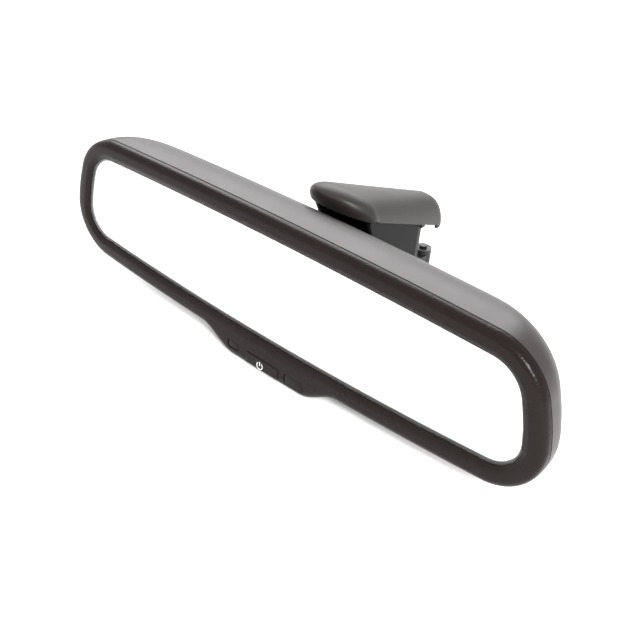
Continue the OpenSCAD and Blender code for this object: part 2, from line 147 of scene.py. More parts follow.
class MirrorStage(bpy.types.PropertyGroup):
    """Camera, floor and lights."""
    azimuth: bpy.props.FloatProperty(
        name="Azimuth", description="Turn of the camera round the mirror, from +Y towards -X",
        subtype="ANGLE", default=math.radians(39.03))
    elevation: bpy.props.FloatProperty(
        name="Elevation", description="Height of the camera over the horizon",
        subtype="ANGLE", default=math.radians(32.68))
    roll: bpy.props.FloatProperty(
        name="Roll", description="Roll of the camera about its own axis",
        subtype="ANGLE", default=math.radians(5.24))
    distance: length_prop("Distance", "Camera to the glass centre, along the view", 375.37)
    lens: bpy.props.FloatProperty(
        name="Lens", description="Focal length on a 36 mm wide sensor, in millimetres", default=50.82)
    floor: colour_prop("Floor", "Pale paper under the mirror", "f6f6f5")
    back_light: bpy.props.FloatProperty(
        name="Back light", description="Power of the overhead softbox behind the mirror, in watts",
        default=11.0)
    corner_light: bpy.props.FloatProperty(
        name="Front light", description="Power of the small lamp in front, in watts", default=12.0)
    sky: bpy.props.FloatProperty(
        name="Sky", description="Strength of the white room", default=1.2)


def sizes():
    """The head's sizes in millimetres."""
    group = bpy.context.scene.mirror_sizes
    return {k: getattr(group, k) / MM for k in MirrorSizes.__annotations__}


def finishes():
    return bpy.context.scene.mirror_finishes


# ---------------------------------------------------------------- meshes


def smoothstep(t):
    t = min(1.0, max(0.0, t))
    return t * t * (3 - 2 * t)


def unit(x, z):
    n = math.hypot(x, z)
    return x / n, z / n


class Outline:
    """The glass outline and its offsets, the same curve that the CAD model uses."""

    crown_top, crown_bot, bulge, lean = 2.3, 5.2, 3.9, -4.8
    chord = 0.9991          # keeps the smooth curve inside the CAD model's straight chords

    def __init__(self, s):
        self.s = s
        self.a, self.h = s["glass_w"] / 2, s["glass_h"] / 2

    def top(self, e, x):
        return self.h + e - self.crown_top * (x / self.a) ** 2

    def bot(self, e, x):
        return self.h + e - self.crown_bot * (x / self.a) ** 2

    def side(self, e, z):
        return self.a + e + self.lean * z / self.h - self.bulge * (z / self.h) ** 2

    def normal_edge(self, crown, x):
        return unit(2 * crown * x / self.a ** 2, 1)

    def normal_side(self, up, z):
        return unit(1, -up * (self.lean / self.h - 2 * self.bulge * up * z / self.h ** 2))

    def corner(self, e, es, r, up):
        """Centre of the arc that meets the long edge and the end; up is 1 or -1."""
        crown = self.crown_top if up > 0 else self.crown_bot
        edge = self.top if up > 0 else self.bot
        cx, cz = self.a + es - r, self.h + e - r
        for _ in range(8):
            n = self.normal_edge(crown, cx + r * self.normal_edge(crown, cx)[0])
            x = cx + r * n[0]
            m = self.normal_side(up, cz)
            z = cz + r * m[1]
            cx, cz = self.side(es, up * z) - r * m[0], edge(e, x) - r * n[1]
        return cx, cz

    def chin(self, x):
        return smoothstep((self.s["chin_flat"] + 19.5 - abs(x)) / 20.5)

    def ring(self, e, share=0.0, count=(36, 22, 10, 84)):
        """Closed outline as (x, z), from the top middle, clockwise seen from the front."""
        nt, na, ns, nb = count
        et, es = e * 8.8 / 9.7, e * 9.3 / 9.7
        rt, rb = self.s["corner_top"] + e * 1.03, self.s["corner_bot"] + e * 1.03
        ctx, ctz = self.corner(et, es, rt, 1)
        cbx, cbz = self.corner(e, es, rb, -1)
        n, m = self.normal_edge(self.crown_top, ctx), self.normal_side(1, ctz)
        t0, t1 = math.atan2(n[1], n[0]), math.atan2(m[1], m[0])
        n, m = self.normal_edge(self.crown_bot, cbx), self.normal_side(-1, cbz)
        b0, b1 = math.atan2(n[1], n[0]), math.atan2(m[1], m[0])
        xt, xb = ctx + rt * math.cos(t0), cbx + rb * math.cos(b0)
        z1, z2 = ctz + rt * math.sin(t1), -(cbz + rb * math.sin(b1))
        half = [(xt * i / nt, self.top(et, xt * i / nt)) for i in range(nt)]
        for i in range(na + 1):
            a = t0 + (t1 - t0) * i / na
            half.append((ctx + rt * math.cos(a), ctz + rt * math.sin(a)))
        for i in range(1, ns):
            z = z1 + (z2 - z1) * i / ns
            half.append((self.side(es, z), z))
        for i in range(na + 1):
            a = b1 + (b0 - b1) * i / na
            half.append((cbx + rb * math.cos(a), -cbz - rb * math.sin(a)))
        for i in range(1, nb + 1):
            x = xb * (1 - i / nb)
            half.append((x, -self.bot(e, x) - share * self.s["chin_h"] * self.chin(x)))
        half = [(x * self.chord, z * self.chord) for x, z in half]
        return half + [(-x, z) for x, z in half[-2:0:-1]]


def at_depth(ring, y):
    return [Vector((x, y, z)) for x, z in ring]


def skin(name, rings, loop=False, origin=HEAD):
    """A swept solid: rings of equal length, in millimetres, joined in order, ends capped unless loop is set."""
    n, m = len(rings[0]), len(rings)
    verts = [origin + p * MM for ring in rings for p in ring]
    faces = []
    for i in range(m if loop else m - 1):
        a, b = i * n, ((i + 1) % m) * n
        faces += [(a + j, b + j, b + (j + 1) % n, a + (j + 1) % n) for j in range(n)]
    if not loop:
        faces += [tuple(range(n)), tuple(range((m - 1) * n + n - 1, (m - 1) * n - 1, -1))]
    mesh = bpy.data.meshes.new(name)
    mesh.from_pydata(verts, [], faces)
    mesh.validate()
    bm = bmesh.new()
    bm.from_mesh(mesh)
    bmesh.ops.recalc_face_normals(bm, faces=bm.faces)
    bm.to_mesh(mesh)
    bm.free()
    obj = bpy.data.objects.new(name, mesh)
    bpy.context.collection.objects.link(obj)
    return obj


def rounded_rect(w, h, r, n=8):
    """Closed rounded rectangle about the origin, as (x, z)."""
    pts = []
    for cx, cz, start in ((1, 1, 90), (1, -1, 0), (-1, -1, -90), (-1, 1, -180)):
        for i in range(n + 1):
            a = math.radians(start - 90 * i / n)
            pts.append((cx * (w / 2 - r) + r * math.cos(a), cz * (h / 2 - r) + r * math.sin(a)))
    return pts


def pad_rings(centre, w, h, r, steps):
    """Rings of a rounded pad: steps are (depth y, inset)."""
    out = []
    for y, inset in steps:
        ring = rounded_rect(w - 2 * inset, h - 2 * inset, max(0.12, r - inset))
        out.append([Vector((centre[0] + x, y, centre[1] + z)) for x, z in ring])
    return out


def circle_ring(centre, axis, radius, n=64):
    axis = axis.normalized()
    side = axis.orthogonal().normalized()
    up = axis.cross(side)
    return [centre + side * radius * math.cos(2 * math.pi * i / n)
            + up * radius * math.sin(2 * math.pi * i / n) for i in range(n)]


def turned(name, start, axis, steps, n=64):
    """A turned solid: steps are (distance along axis, radius)."""
    return skin(name, [circle_ring(start + axis.normalized() * d, axis, max(r, 0.02), n)
                       for d, r in steps])


def box_rings(lo, hi):
    corners = [(lo[0], hi[2]), (hi[0], hi[2]), (hi[0], lo[2]), (lo[0], lo[2])]
    return [[Vector((x, y, z)) for x, z in corners] for y in (lo[1], hi[1])]


def baked(obj):
    """Applies the object's modifiers."""
    depsgraph = bpy.context.evaluated_depsgraph_get()
    mesh = bpy.data.meshes.new_from_object(obj.evaluated_get(depsgraph), depsgraph=depsgraph)
    obj.modifiers.clear()
    old = obj.data
    obj.data = mesh
    bpy.data.meshes.remove(old)
    return obj


def cut(obj, *cutters, operation="DIFFERENCE"):
    for cutter in cutters:
        mod = obj.modifiers.new("cut", "BOOLEAN")
        mod.operation, mod.solver, mod.object = operation, "EXACT", cutter
    baked(obj)
    for cutter in cutters:
        bpy.data.objects.remove(cutter, do_unlink=True)
    if not len(obj.data.polygons):
        raise RuntimeError(f"{obj.name} came out empty")
    return obj


def soft_shade(obj, angle=32):
    obj.data.polygons.foreach_set("use_smooth", [True] * len(obj.data.polygons))
    obj.data.set_sharp_from_angle(angle=math.radians(angle))
    return obj


def bevel(obj, width, angle=35, segments=3):
    mod = obj.modifiers.new("edge", "BEVEL")
    mod.width, mod.segments, mod.limit_method = width * MM, segments, "ANGLE"
    mod.angle_limit = math.radians(angle)
    mod.harden_normals = False
    return obj


def curve_through(points, steps):
    """Catmull-Rom through points of any length, steps samples a span."""
    out = []
    pts = [points[0], *points, points[-1]]
    for i in range(1, len(pts) - 2):
        p0, p1, p2, p3 = pts[i - 1:i + 3]
        for k in range(steps):
            t = k / steps
            out.append(tuple(0.5 * (2 * b + (c - a) * t + (2 * a - 5 * b + 4 * c - d) * t * t
                                    + (3 * b - a - 3 * c + d) * t ** 3)
                             for a, b, c, d in zip(p0, p1, p2, p3)))
    out.append(tuple(points[-1]))
    return out


def finish_piece(obj, material, body, slot, *nodes):
    """Gives a piece its material and ties it to the CAD model."""
    obj.data.materials.clear()
    obj.data.materials.append(material)
    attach(obj, body)
    if nodes:
        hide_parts(*nodes)
    return obj


# ---------------------------------------------------------------- materials


def add_node(tree, kind, settings=None, links=None):
    """Adds a shader node: settings are attributes or socket values, links are socket: output."""
    node = tree.nodes.new(kind)
    for key, value in (settings or {}).items():
        if isinstance(key, int) or key in node.inputs:
            node.inputs[key].default_value = value
        else:
            setattr(node, key, value)
    for key, output in (links or {}).items():
        tree.links.new(output, node.inputs[key])
    return node


def new_material(name):
    material = bpy.data.materials.new(name)
    material.use_nodes = True
    material.node_tree.nodes.clear()
    return material, material.node_tree


def surface(tree, shader):
    add_node(tree, "ShaderNodeOutputMaterial", links={"Surface": shader.outputs[0]})


def tint(colour, factor):
    return tuple(min(1.0, c * factor) for c in colour[:3]) + (1.0,)


def moulded(name, colour, roughness, grain_mm, depth_mm, ior=1.52, spread=0.06, specular=0.5):
    """Moulded plastic: spark-eroded grain in the tool gives a fine pebble, and handling leaves faint
    polished and dusty patches, so the gloss wanders a little."""
    material, tree = new_material(name)
    at = add_node(tree, "ShaderNodeTexCoord").outputs["Object"]
    patches = add_node(tree, "ShaderNodeTexNoise", {"Scale": 1 / (35 * MM), "Detail": 3.0,
                                                    "Roughness": 0.6}, {"Vector": at})
    pebble = add_node(tree, "ShaderNodeTexVoronoi", {"Scale": 1 / (grain_mm * MM),
                                                     "feature": "SMOOTH_F1", "Smoothness": 0.6},
                      {"Vector": at})
    dust = add_node(tree, "ShaderNodeTexNoise", {"Scale": 1 / (grain_mm * 3.1 * MM), "Detail": 2.0},
                    {"Vector": at})
    rough = add_node(tree, "ShaderNodeMapRange", {"To Min": roughness - spread,
                                                  "To Max": roughness + spread},
                     {"Value": patches.outputs["Fac"]})
    tone = add_node(tree, "ShaderNodeMix", {"data_type": "RGBA"})
    tone.inputs[6].default_value, tone.inputs[7].default_value = tint(colour, 0.88), tint(colour, 1.14)
    tree.links.new(patches.outputs["Fac"], tone.inputs[0])
    mixed = add_node(tree, "ShaderNodeMath", {"operation": "MULTIPLY_ADD", 1: 0.35},
                     {0: dust.outputs["Fac"], 2: pebble.outputs["Distance"]})
    grain = add_node(tree, "ShaderNodeBump", {"Strength": 0.55, "Distance": depth_mm * MM},
                     {"Height": mixed.outputs[0]})
    shader = add_node(tree, "ShaderNodeBsdfPrincipled",
                      {"IOR": ior, "Specular IOR Level": specular},
                      {"Base Color": tone.outputs[2], "Roughness": rough.outputs["Result"],
                       "Normal": grain.outputs["Normal"]})
    surface(tree, shader)
    return material


def metal(name, colour, roughness, brush_mm, depth_mm=0.004, stretch=12.0):
    """Bare or plated metal: fine directional scratches from grinding or rolling stretch the gloss."""
    material, tree = new_material(name)
    at = add_node(tree, "ShaderNodeTexCoord").outputs["Object"]
    lay = add_node(tree, "ShaderNodeMapping", {"Scale": (1.0, 1.0 / stretch, 1.0)}, {"Vector": at})
    lines = add_node(tree, "ShaderNodeTexNoise", {"Scale": 1 / (brush_mm * MM), "Detail": 4.0},
                     {"Vector": lay.outputs[0]})
    rough = add_node(tree, "ShaderNodeMapRange", {"To Min": roughness * 0.7,
                                                  "To Max": roughness * 1.3},
                     {"Value": lines.outputs["Fac"]})
    bump = add_node(tree, "ShaderNodeBump", {"Strength": 0.4, "Distance": depth_mm * MM},
                    {"Height": lines.outputs["Fac"]})
    shader = add_node(tree, "ShaderNodeBsdfPrincipled", {"Base Color": colour, "Metallic": 1.0},
                      {"Roughness": rough.outputs["Result"], "Normal": bump.outputs["Normal"]})
    surface(tree, shader)
    return material


def clear(name, colour, ior, roughness=0.0):
    """Polished clear glass or acrylic; a trace of polishing haze breaks up its reflections."""
    material, tree = new_material(name)
    at = add_node(tree, "ShaderNodeTexCoord").outputs["Object"]
    haze = add_node(tree, "ShaderNodeTexNoise", {"Scale": 1 / (20 * MM), "Detail": 2.0},
                    {"Vector": at})
    rough = add_node(tree, "ShaderNodeMapRange", {"To Min": roughness, "To Max": roughness + 0.01},
                     {"Value": haze.outputs["Fac"]})
    shader = add_node(tree, "ShaderNodeBsdfPrincipled",
                      {"Base Color": colour, "IOR": ior, "Transmission Weight": 1.0},
                      {"Roughness": rough.outputs["Result"]})
    surface(tree, shader)
    return material


def silvered(name, colour):
    """Silver laid on float glass: an almost perfect reflector with a faint cool tint."""
    material, tree = new_material(name)
    at = add_node(tree, "ShaderNodeTexCoord").outputs["Object"]
    film = add_node(tree, "ShaderNodeTexNoise", {"Scale": 1 / (60 * MM), "Detail": 1.0},
                    {"Vector": at})
    rough = add_node(tree, "ShaderNodeMapRange", {"To Min": 0.0, "To Max": 0.012},
                     {"Value": film.outputs["Fac"]})
    shader = add_node(tree, "ShaderNodeBsdfPrincipled", {"Base Color": colour, "Metallic": 1.0},
                      {"Roughness": rough.outputs["Result"]})
    surface(tree, shader)
    return material


def soft_rubber(name, colour, cell_mm):
    """Foam tape or sealant: open cells a fraction of a millimetre wide, fully matt, each cell's pit darkened
    with painted shade.
    """
    material, tree = new_material(name)
    at = add_node(tree, "ShaderNodeTexCoord").outputs["Object"]
    cells = add_node(tree, "ShaderNodeTexVoronoi", {"Scale": 1 / (cell_mm * MM)}, {"Vector": at})
    # painted shade: the colour darkens towards each cell's middle, where the bump sinks into a pit
    tone = add_node(tree, "ShaderNodeMix", {"data_type": "RGBA"})
    tone.inputs[6].default_value, tone.inputs[7].default_value = tint(colour, 0.7), colour
    tree.links.new(cells.outputs["Distance"], tone.inputs[0])
    bump = add_node(tree, "ShaderNodeBump", {"Strength": 0.7, "Distance": 0.08 * MM},
                    {"Height": cells.outputs["Distance"]})
    shader = add_node(tree, "ShaderNodeBsdfPrincipled", {"Roughness": 0.9, "IOR": 1.5},
                      {"Base Color": tone.outputs[2], "Normal": bump.outputs["Normal"]})
    surface(tree, shader)
    return material


def solder_mask(name):
    """Printed board: green solder mask over etched copper, whose tracks show as paler raised lines."""
    material, tree = new_material(name)
    at = add_node(tree, "ShaderNodeTexCoord").outputs["Object"]
    tracks = add_node(tree, "ShaderNodeTexBrick",
                      {"Scale": 1 / (9 * MM), "Mortar Size": 0.035, "Color1": srgb("0f4a2a"),
                       "Color2": srgb("0d4326"), "Mortar": srgb("2f7d4b"), "Brick Width": 0.8,
                       "Row Height": 0.22})
    turn = add_node(tree, "ShaderNodeMapping", {"Rotation": (math.pi / 2, 0, 0)}, {"Vector": at})
    tree.links.new(turn.outputs[0], tracks.inputs["Vector"])
    bump = add_node(tree, "ShaderNodeBump", {"Strength": 0.5, "Distance": 0.05 * MM},
                    {"Height": tracks.outputs["Fac"]})
    shader = add_node(tree, "ShaderNodeBsdfPrincipled", {"Roughness": 0.32, "IOR": 1.55},
                      {"Base Color": tracks.outputs["Color"], "Normal": bump.outputs["Normal"]})
    surface(tree, shader)
    return material


MATERIALS = {}


def material(key):
    """The finish named key, made when first asked for."""
    f = finishes()
    makers = {
        # ABS moulded in a lightly blasted tool: a dark semi-gloss skin whose grain only glints in highlights
        "bezel": lambda: moulded("ABS moulded semi-gloss black", f.bezel, 0.27, 0.7, 0.12,
                                 specular=0.1),
        # ABS moulded in a spark-eroded tool: an even satin that lifts to grey under the sky
        "housing": lambda: moulded("ABS moulded fine grain black", f.housing, 0.42, 0.5, 0.03,
                                   specular=0.36),
        "cover": lambda: moulded("ABS moulded satin black", f.cover, 0.46, 0.6, 0.03, specular=0.28),
        # matt black ABS whose colour is darkened further as painted shade under the upper cover
        "lower": lambda: moulded("ABS moulded matt black with painted shade", f.lower, 0.55, 0.6, 0.03, specular=0.08),
        "button": lambda: moulded("ABS moulded button black", f.bezel, 0.32, 0.5, 0.03,
                                  specular=0.12),
        # acrylic dyed almost black and polished: dark and clean-edged
        "lens": lambda: moulded("Acrylic polished smoked", f.lens, 0.16, 0.8, 0.002, ior=1.49,
                                spread=0.03, specular=0.16),
        "print": lambda: moulded("Ink pad printed white", f.print_white, 0.5, 0.3, 0.004),
        # zinc die casting with a thin black coat: slightly rippled by the die
        "stay": lambda: moulded("Zinc die cast black coated", f.stay, 0.45, 1.4, 0.04, specular=0.3),
        "inner": lambda: moulded("ABS moulded unpainted black", srgb("2a2a2b"), 0.5, 0.8, 0.03),
        "components": lambda: moulded("Epoxy moulded package black", srgb("1c1c1e"), 0.42, 0.3, 0.01),
        "natural": lambda: moulded("Acetal moulded natural", srgb("d9d6cb"), 0.35, 0.7, 0.01),
        "grey_seat": lambda: moulded("Nylon moulded grey", srgb("4a4a4c"), 0.4, 0.7, 0.01),
        "ribbon": lambda: moulded("Polyester ribbon laminated grey", srgb("8c8c8e"), 0.4, 1.2, 0.01),
        "led": lambda: moulded("Epoxy cast pale", srgb("dcdcc4"), 0.2, 0.6, 0.004),
        "sensor": lambda: moulded("Epoxy cast amber", srgb("5a3a22"), 0.2, 0.6, 0.004),
        "steel": lambda: metal("Steel zinc plated", srgb("b9babd"), 0.3, 0.5),
        "ball": lambda: metal("Steel ground bright", srgb("c3c3c4"), 0.18, 0.4),
        "oxide": lambda: metal("Steel black oxide", srgb("3a3a3c"), 0.42, 0.5),
        "casting": lambda: metal("Aluminium die cast", srgb("a9aaad"), 0.45, 1.5, 0.02, 1.0),
        "contact": lambda: metal("Phosphor bronze tin flashed", srgb("c8ab66"), 0.28, 0.4),
        "glass": lambda: clear("Float glass polished", srgb("fefefe"), 1.52),
        "gel": lambda: clear("Dimming gel cast clear", srgb("fdfdfd"), 1.45),
        "guide": lambda: clear("Acrylic moulded clear", srgb("f2f7f8"), 1.49, 0.03),
        "silver": lambda: silvered("Float glass silvered", srgb("fdfdfd")),
        "seal": lambda: soft_rubber("Sealant cured black", srgb("1b1b1b"), 0.4),
        "foam": lambda: soft_rubber("Foam tape cut black", srgb("262626"), 0.5),
        "board": lambda: solder_mask("Board etched green mask"),
    }
    if key not in MATERIALS:
        MATERIALS[key] = makers[key]()
    return MATERIALS[key]


def dress(node, key, edge=0.0):
    """Keeps a CAD node, with a real finish and, where it shows, a small edge radius."""
    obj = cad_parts[node]
    obj.data.materials.clear()
    obj.data.materials.append(material(key))
    if edge:
        bevel(obj, edge)


# ---------------------------------------------------------------- head


def bezel_profile(s):
    """(offset, depth, chin share) round the bezel's section, front face smooth, inside plain."""
    w, c, p = s["rim_w"], s["rim_front"], s["parting"]
    front = curve_through([
        (0.0, -GAP, 0.0), (0.15, -0.35, 0.0), (1.9, -c * 0.78, 0.02), (3.3, -c, 0.12),
        (5.2, -c * 0.985, 0.48), (w - 3.0, -c * 0.91, 0.86), (w - 1.9, -c * 0.68, 0.97),
        (w - 1.0, -0.42, 1.0), (w - 0.42, 0.4, 1.0), (w - 0.1, 1.5, 1.0), (w, p - 0.35, 1.0)], 5)
    front = [(min(e, w), max(y, -c), min(1.0, max(0.0, q))) for e, y, q in front]
    inner, step = w - 1.4, 3.0
    return front + [(w - 0.05, p - 0.24, 1.0), (w - 0.16, p - 0.12, 1.0), (w - 0.6, p - 0.08, 1.0),
                    (w - 0.62, p, 1.0), (inner, p, 1.0),
                    (inner, 0.4, 1.0), (step, 0.4, 0.0), (step, -GAP, 0.0)]


def control_places(s):
    """Middles of the button and the two lenses on the chin, as (x, z)."""
    low = s["glass_h"] / 2 + s["rim_w"] + s["chin_h"]
    return {"button": (-0.9, -(low - 5.05)), "left": (-19.0, -(low - 6.5)),
            "right": (17.6, -(low - 5.4))}


def window(name, centre, size, slack, r):
    """Cutter for a window in the chin, flared at its mouth for a moulded edge."""
    w, h = size[0] + slack, size[1] + slack
    steps = [(-4.0, -0.2), (-1.75, -0.2), (-1.25, -0.06), (-0.95, 0.0), (2.0, 0.0)]
    return skin(name, pad_rings(centre, w, h, r, steps))


class MIRROR_OT_bezel(bpy.types.Operator):
    """Moulded bezel with its chin and the windows for the button and lenses"""
    bl_idname = "mirror.bezel"
    bl_label = "Bezel"

    def execute(self, context):
        s = sizes()
        outline, at = Outline(s), control_places(s)
        rings = [at_depth(outline.ring(e, q), y) for e, y, q in bezel_profile(s)]
        bezel = skin("bezel", rings, loop=True)
        cut(bezel,
            window("button_window", at["button"], BUTTON, 0.3, 1.25),
            window("left_window", at["left"], LEFT_LENS, 0.24, 0.95),
            window("right_window", at["right"], RIGHT_LENS, 0.24, 1.35))
        soft_shade(bezel, 40)
        finish_piece(bezel, material("bezel"), "head", "bezel_plastic", "front_bezel")
        return {"FINISHED"}


def dome_back(s):
    """Depth of the housing's back."""
    return 3.2 + s["dome_d"] * 0.97


def dome_rings(outline, s, off, y_end, count, flat_at=0.97):
    """Rings of the housing's dome from the parting line to a small flat back, offset inwards by off."""
    base = outline.ring(s["rim_w"] - off)
    low = -s["glass_h"] / 2
    depth = s["dome_d"]
    start = s["parting"] + GAP + (0.0 if off == 0 else 2.6 - GAP)
    out = []
    for i in range(count + 1):
        scale = 1 - 0.985 * (i / count) ** 1.35
        t = (1 - scale ** LAW_POWER) ** 0.4
        soft = t - math.log1p(math.exp(70 * (t - flat_at))) / 70
        y = start + (y_end - start) * soft / flat_at
        ring = []
        for x, z in base:
            drop = s["chin_h"] * outline.chin(x) * (1 - t) ** 1.6 if z < low else 0.0
            ring.append(Vector((x * scale, y, z * scale - drop)))
        out.append(ring)
    return out


class MIRROR_OT_housing(bpy.types.Operator):
    """Domed rear housing with its tongue, ball opening, sensor hole and socket hole"""
    bl_idname = "mirror.housing"
    bl_label = "Rear housing"

    def execute(self, context):
        s = sizes()
        outline = Outline(s)
        p, w, wall = s["parting"], s["rim_w"], s["wall"]
        back = dome_back(s)
        tongue_out, tongue_in = w - 1.4 - 0.3, w - 1.4 - 1.9
        inner = dome_rings(outline, s, wall, back - wall, 40)[::-1]
        outer = dome_rings(outline, s, 0.0, back, 72)
        lip = [at_depth(outline.ring(tongue_in, 1), p + 2), at_depth(outline.ring(tongue_in, 1), 0.9),
               at_depth(outline.ring(tongue_out, 1), 0.9),
               at_depth(outline.ring(tongue_out, 1), p + GAP),
               at_depth(outline.ring(w - 0.62, 1), p + GAP),
               at_depth(outline.ring(w - 0.6, 1), p + GAP + 0.2),
               at_depth(outline.ring(w - 0.16, 1), p + GAP + 0.22)]
        first = outer.pop(0)
        lip.append([v + Vector((0, 0.3, 0)) for v in first])
        housing = skin("housing", inner + lip + outer)
        swing = Matrix.Rotation(math.radians(-STAY_PITCH), 3, "X") @ Vector((0, 1, 0))
        flare = math.tan(math.radians(OPENING_ANGLE))
        cone = turned("stay_opening", BALL, swing, [(0, 0.02), (9, 9 * flare), (30, 30 * flare)], 96)
        sensor = turned("sensor_hole", Vector((AMBIENT_X, back - wall - 6, 0)), Vector((0, 1, 0)),
                        [(0, 3.6), (5 + wall, 3.6), (5.7 + wall, 4.0), (9 + wall, 4.0)])
        plug = skin("socket_hole", box_rings((SOCKET_X - 7.8, back - 15.5, -4.8),
                                             (SOCKET_X + 7.8, back + 1, 4.8)))
        notch = skin("chin_notch", box_rings((-28, -3, -80),
                                             (28, p + GAP, -s["glass_h"] / 2 - 4)))
        cut(housing, cone, sensor, plug, notch)
        soft_shade(housing, 38)
        finish_piece(housing, material("housing"), "head", "housing_plastic", "rear_housing")
        return {"FINISHED"}


class MIRROR_OT_glass(bpy.types.Operator):
    """Dimming glass: front sheet, gel, silvered rear sheet, seal, clips, pad and carrier"""
    bl_idname = "mirror.glass"
    bl_label = "Glass"

    def sheet(self, name, outline, e, y0, y1, edge):
        """A sheet with its edges ground by edge millimetres."""
        steps = [(y0, e - edge), (y0 + edge, e), (y1 - edge, e), (y1, e - edge)]
        return soft_shade(skin(name, [at_depth(outline.ring(k), y) for y, k in steps]), 20)

    def execute(self, context):
        outline = Outline(sizes())
        front = self.sheet("front_sheet", outline, 2.2, 0.0, 1.58, 0.25)
        finish_piece(front, material("glass"), "head", "front_glass", "ec_front_glass")
        gel = self.sheet("gel_film", outline, -1.1, 1.62, 1.88, 0.02)
        finish_piece(gel, material("gel"), "head", "gel", "ec_gel")
        rear = self.sheet("silvered_sheet", outline, 1.9, 1.92, 3.48, 0.2)
        finish_piece(rear, material("silver"), "head", "mirror_glass", "ec_rear_glass")
        dress("ec_edge_seal", "seal")
        dress("bus_clips", "contact")
        dress("glass_pad", "foam")
        dress("glass_carrier", "inner")
        return {"FINISHED"}


class MIRROR_OT_controls(bpy.types.Operator):
    """Power button with its printed symbol, and the two lenses in the chin"""
    bl_idname = "mirror.controls"
    bl_label = "Chin controls"

    def execute(self, context):
        at = control_places(sizes())
        x, z = at["button"]
        cap = [(-1.75, 0.75), (-1.74, 0.5), (-1.68, 0.25), (-1.55, 0.08), (-1.35, 0.0), (0.55, 0.0),
               (0.56, -0.6), (1.6, -0.6)]
        button = skin("power_button_cap", pad_rings((x, z), *BUTTON, 1.1, cap))
        post = skin("post", box_rings((x - 4, 1.4, z - 1.5), (x + 4, 2.6, z + 4)))
        pin = turned("pin", Vector((x, 2.2, z + 2.5)), Vector((0, 1, 0)), [(0, 1.4), (1.3, 1.4)])
        cut(button, post, pin, operation="UNION")
        soft_shade(button, 30)
        finish_piece(button, material("button"), "button", "button_plastic", "power_button")

        cx, cz = x - 1.2, z - 0.75
        rings = []
        for i in range(41):
            a = math.radians(124 + 292 * i / 40)
            c, d = math.cos(a), math.sin(a)
            rings.append([Vector((cx + r * c, y, cz + r * d))
                          for r, y in ((1.5, -1.745), (1.5, -1.82), (1.82, -1.82), (1.82, -1.745))])
        arc = skin("power_sign", rings)
        bar = skin("bar", box_rings((cx - 0.17, -1.825, cz + 0.1), (cx + 0.17, -1.745, cz + 2.15)))
        cut(arc, bar, operation="UNION")
        finish_piece(arc, material("print"), "button", "white_print", "power_symbol")
        dress("switch_plunger", "natural")

        for name, key, node, size, r, y in (
                ("indicator_window", "left", "indicator_lens", LEFT_LENS, 0.8, -1.15),
                ("glare_sensor_window", "right", "glare_sensor_lens", RIGHT_LENS, 1.2, -1.12)):
            steps = [(y, 0.35), (y + 0.06, 0.12), (y + 0.2, 0.0),
                     (0.5, 0.0), (0.51, -0.4), (1.4, -0.4)]
            lens = soft_shade(skin(name, pad_rings(at[key], *size, r, steps)), 30)
            finish_piece(lens, material("lens"), "head", "dark_lens", node)
        return {"FINISHED"}


class MIRROR_OT_electronics(bpy.types.Operator):
    """Boards, switch, lamps, sensors, socket and ribbon inside the head"""
    bl_idname = "mirror.electronics"
    bl_label = "Electronics"

    def execute(self, context):
        for node, key, edge in (
                ("circuit_board", "board", 0), ("switch_board", "board", 0),
                ("board_components", "components", 0.15), ("tact_switch", "components", 0.1),
                ("board_screws", "steel", 0.1), ("indicator_led", "led", 0.2),
                ("glare_photocell", "sensor", 0.2), ("light_guide", "guide", 0),
                ("harness_socket", "inner", 0.15), ("socket_pins", "contact", 0.05),
                ("ribbon_lead", "ribbon", 0.05)):
            dress(node, key, edge)
        s = sizes()
        back = dome_back(s)
        base = back - s["wall"]
        lens = turned("ambient_window", Vector((AMBIENT_X, base - 1.3, 0)), Vector((0, 1, 0)),
                      [(0, 4.6), (0.15, 4.8), (1.05, 4.8), (1.2, 4.6), (1.2, 3.5),
                       (back + 0.15 - base + 1.3, 3.5), (back + 0.32 - base + 1.3, 3.3),
                       (back + 0.4 - base + 1.3, 2.8)])
        finish_piece(soft_shade(lens, 25), material("lens"), "head", "dark_lens",
                     "ambient_sensor_lens")
        return {"FINISHED"}


# ---------------------------------------------------------------- mount


def cover_top(y):
    return 37.8 - 0.337 * (y - 36.8)


def cover_bottom(y):
    return 28 - 0.389 * (y - COVER_START) - 2.7 * smoothstep((44 - y) / 9)


def cover_half(y, s):
    """Half width of the upper cover."""
    return s["stay_w"] / 2 + s["cover_over"] * (1 - 0.722 * (y - COVER_START) / 72)


def lean_back(v):
    """The near end leans back so that the head can turn under it."""
    fade = 1 - smoothstep((v.y - 34) / 14)
    return Vector((v.x, v.y + 0.56 * max(0.0, 35 - v.z) * fade, v.z))


def arch(y, grow, near, s, floor=0.0, points=44):
    """Cross-section of the upper cover at y, shrunk by grow, closed at its near end by a round nose."""
    k = 1.0
    if y < near + NOSE:
        k = max(0.0, 1 - ((near + NOSE - y) / NOSE) ** NOSE_POWER) ** (1 / NOSE_POWER)
    k = max(0.12, k)
    turn = RIM_SLOPE * max(0.0, y - RIM_CREASE)
    if not grow and RIM_CREASE + 0.1 < y < RIM_CREASE + 0.7:
        turn += CREASE_DEPTH
    w = (cover_half(y, s) - grow - turn) * k
    h = (cover_top(y) - cover_bottom(y) - grow - turn) * (0.28 + 0.72 * k)
    pts = []
    for j in range(points + 1):
        a = math.pi * (1 - j / points)
        c, d = math.cos(a), math.sin(a)
        pts.append(Vector((w * math.copysign(abs(c) ** COVER_ROUNDING, c), y,
                           cover_bottom(y) + h * abs(d) ** COVER_ROUNDING)))
    if floor:
        pts += [Vector((w, y, cover_bottom(y) - floor)), Vector((-w, y, cover_bottom(y) - floor))]
    return [lean_back(v) for v in pts]


